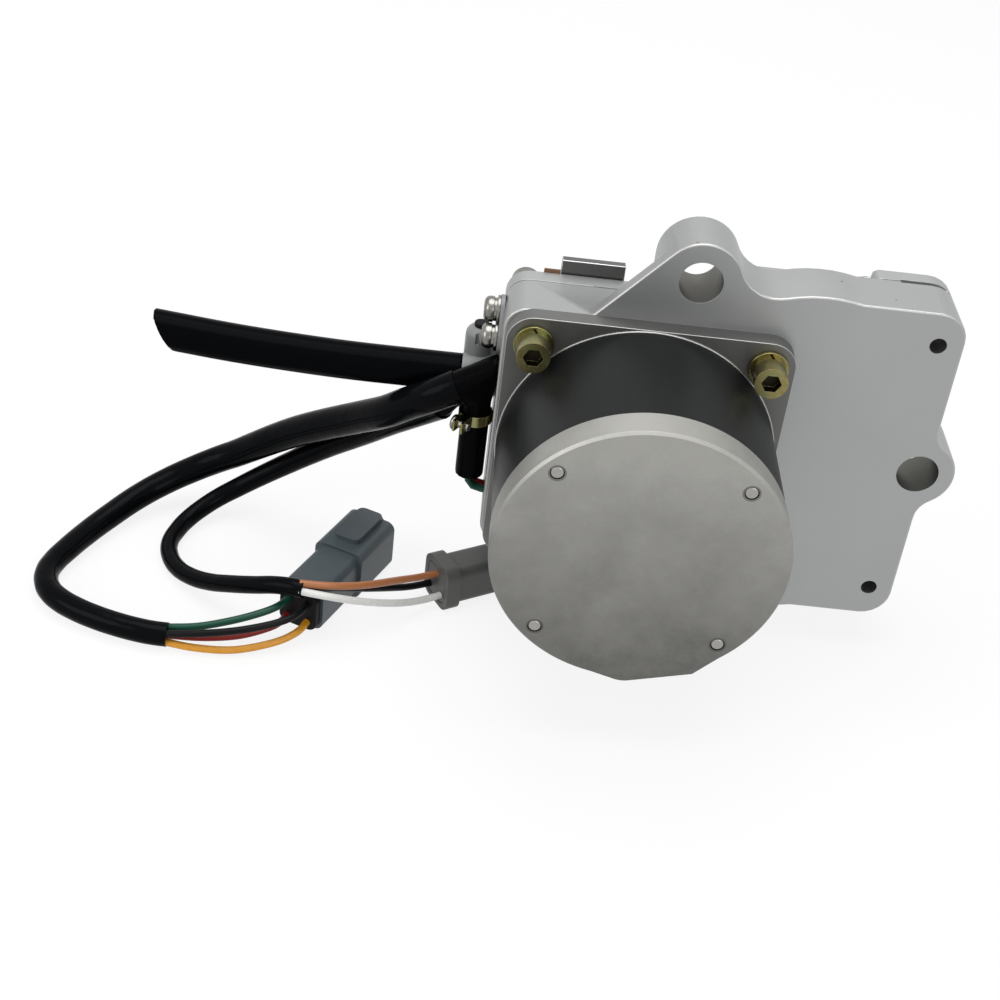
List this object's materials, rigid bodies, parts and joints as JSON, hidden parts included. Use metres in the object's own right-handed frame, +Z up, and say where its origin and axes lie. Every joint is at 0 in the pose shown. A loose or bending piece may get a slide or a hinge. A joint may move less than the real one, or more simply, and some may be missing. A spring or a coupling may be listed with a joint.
{
  "type": "engine governor actuator",
  "caption": "Stepping motor on a flat cast gear case with bolt lugs, an output shaft at the back, a vent hose and cables that end in sealed connectors.",
  "frame": {"origin": "centre of the side lug's bolt hole on the machined front face of the gear case", "axes": "+X to the right, from the motor towards the side lug; +Y from the motor side to the output side; +Z up"},
  "size_m": [0.2856, 0.1157, 0.1388],
  "materials": {
    "case": "satin",
    "cover": "satin",
    "flange": "satin",
    "can": "satin",
    "cap": "satin",
    "sensor_plate": "satin",
    "yellow_zinc": "satin",
    "bright_steel": "satin",
    "ground_steel": "gloss",
    "gear_steel": "satin",
    "laminations": "matte",
    "copper_wire": "satin",
    "bronze": "satin",
    "dark_gasket": "matte",
    "brown_gasket": "matte",
    "seal": "matte",
    "sensor_plastic": "matte",
    "gear_plastic": "satin",
    "fitting": "satin",
    "hose": "satin",
    "boot": "satin",
    "sleeve": "gloss",
    "green_wire": "satin",
    "black_wire": "satin",
    "red_wire": "satin",
    "yellow_wire": "satin",
    "brown_wire": "satin",
    "white_wire": "satin",
    "motor_plug": "satin",
    "sensor_plug": "satin",
    "contacts": "satin"
  },
  "bodies": {
    "base": {"gear_case": "case", "rear_cover": "cover", "joint_gasket": "dark_gasket", "cover_screws": "bright_steel", "motor_flange": "flange", "motor_can": "can", "motor_rear_cap": "cap", "tie_bolts": "bright_steel", "motor_screws": "yellow_zinc", "spring_washers": "yellow_zinc", "flat_washers": "yellow_zinc", "stator_core": "laminations", "stator_coils": "copper_wire", "bearing_outer_rings": "ground_steel", "output_bushes": "bronze", "dust_seal": "seal", "sensor_body": "sensor_plastic", "sensor_cover": "sensor_plate", "sensor_gasket": "brown_gasket", "sensor_cover_screws": "bright_steel", "hose_fitting": "fitting", "fitting_screws": "bright_steel", "fitting_washers": "bright_steel", "vent_hose": "hose", "cable_boot": "boot", "boot_clip": "yellow_zinc", "clip_screw": "bright_steel", "green_inlet_lead": "green_wire", "red_inlet_lead": "red_wire", "motor_cable": "sleeve", "green_lead": "green_wire", "black_lead": "black_wire", "red_lead": "red_wire", "yellow_lead": "yellow_wire", "motor_connector": "motor_plug", "motor_contacts": "contacts", "motor_seal": "seal", "sensor_cable": "sleeve", "signal_lead": "brown_wire", "ground_lead": "white_wire", "supply_lead": "black_wire", "sensor_connector": "sensor_plug", "sensor_seal": "seal"},
    "rotor": {"rotor_shaft": "ground_steel", "rotor_core": "laminations", "motor_pinion": "gear_steel", "bearing_inner_rings": "ground_steel"},
    "output": {"output_shaft": "ground_steel", "sector_gear": "gear_steel", "sector_pin": "ground_steel", "shaft_ring": "bright_steel"},
    "sensor": {"sensor_gear": "gear_plastic", "sensor_shaft": "ground_steel"}
  },
  "joints": [
    {"name": "rotor_spin", "type": "hinge", "parent": "base", "child": "rotor", "pos_m": [-0.089, 0, 0], "axis": [0, 1, 0], "range_deg": [-210, 210]},
    {"name": "output_turn", "type": "hinge", "parent": "base", "child": "output", "pos_m": [-0.039, 0, 0], "axis": [0, 1, 0], "range_deg": [-40, 40]},
    {"name": "sensor_turn", "type": "hinge", "parent": "base", "child": "sensor", "pos_m": [-0.10703, 0, 0.01803], "axis": [0, 1, 0], "range_deg": [-96, 96]}
  ],
  "couplings": [
    {"joint": "output_turn", "follows": "rotor_spin", "ratio": -0.19048},
    {"joint": "sensor_turn", "follows": "rotor_spin", "ratio": -0.45714}
  ]
}
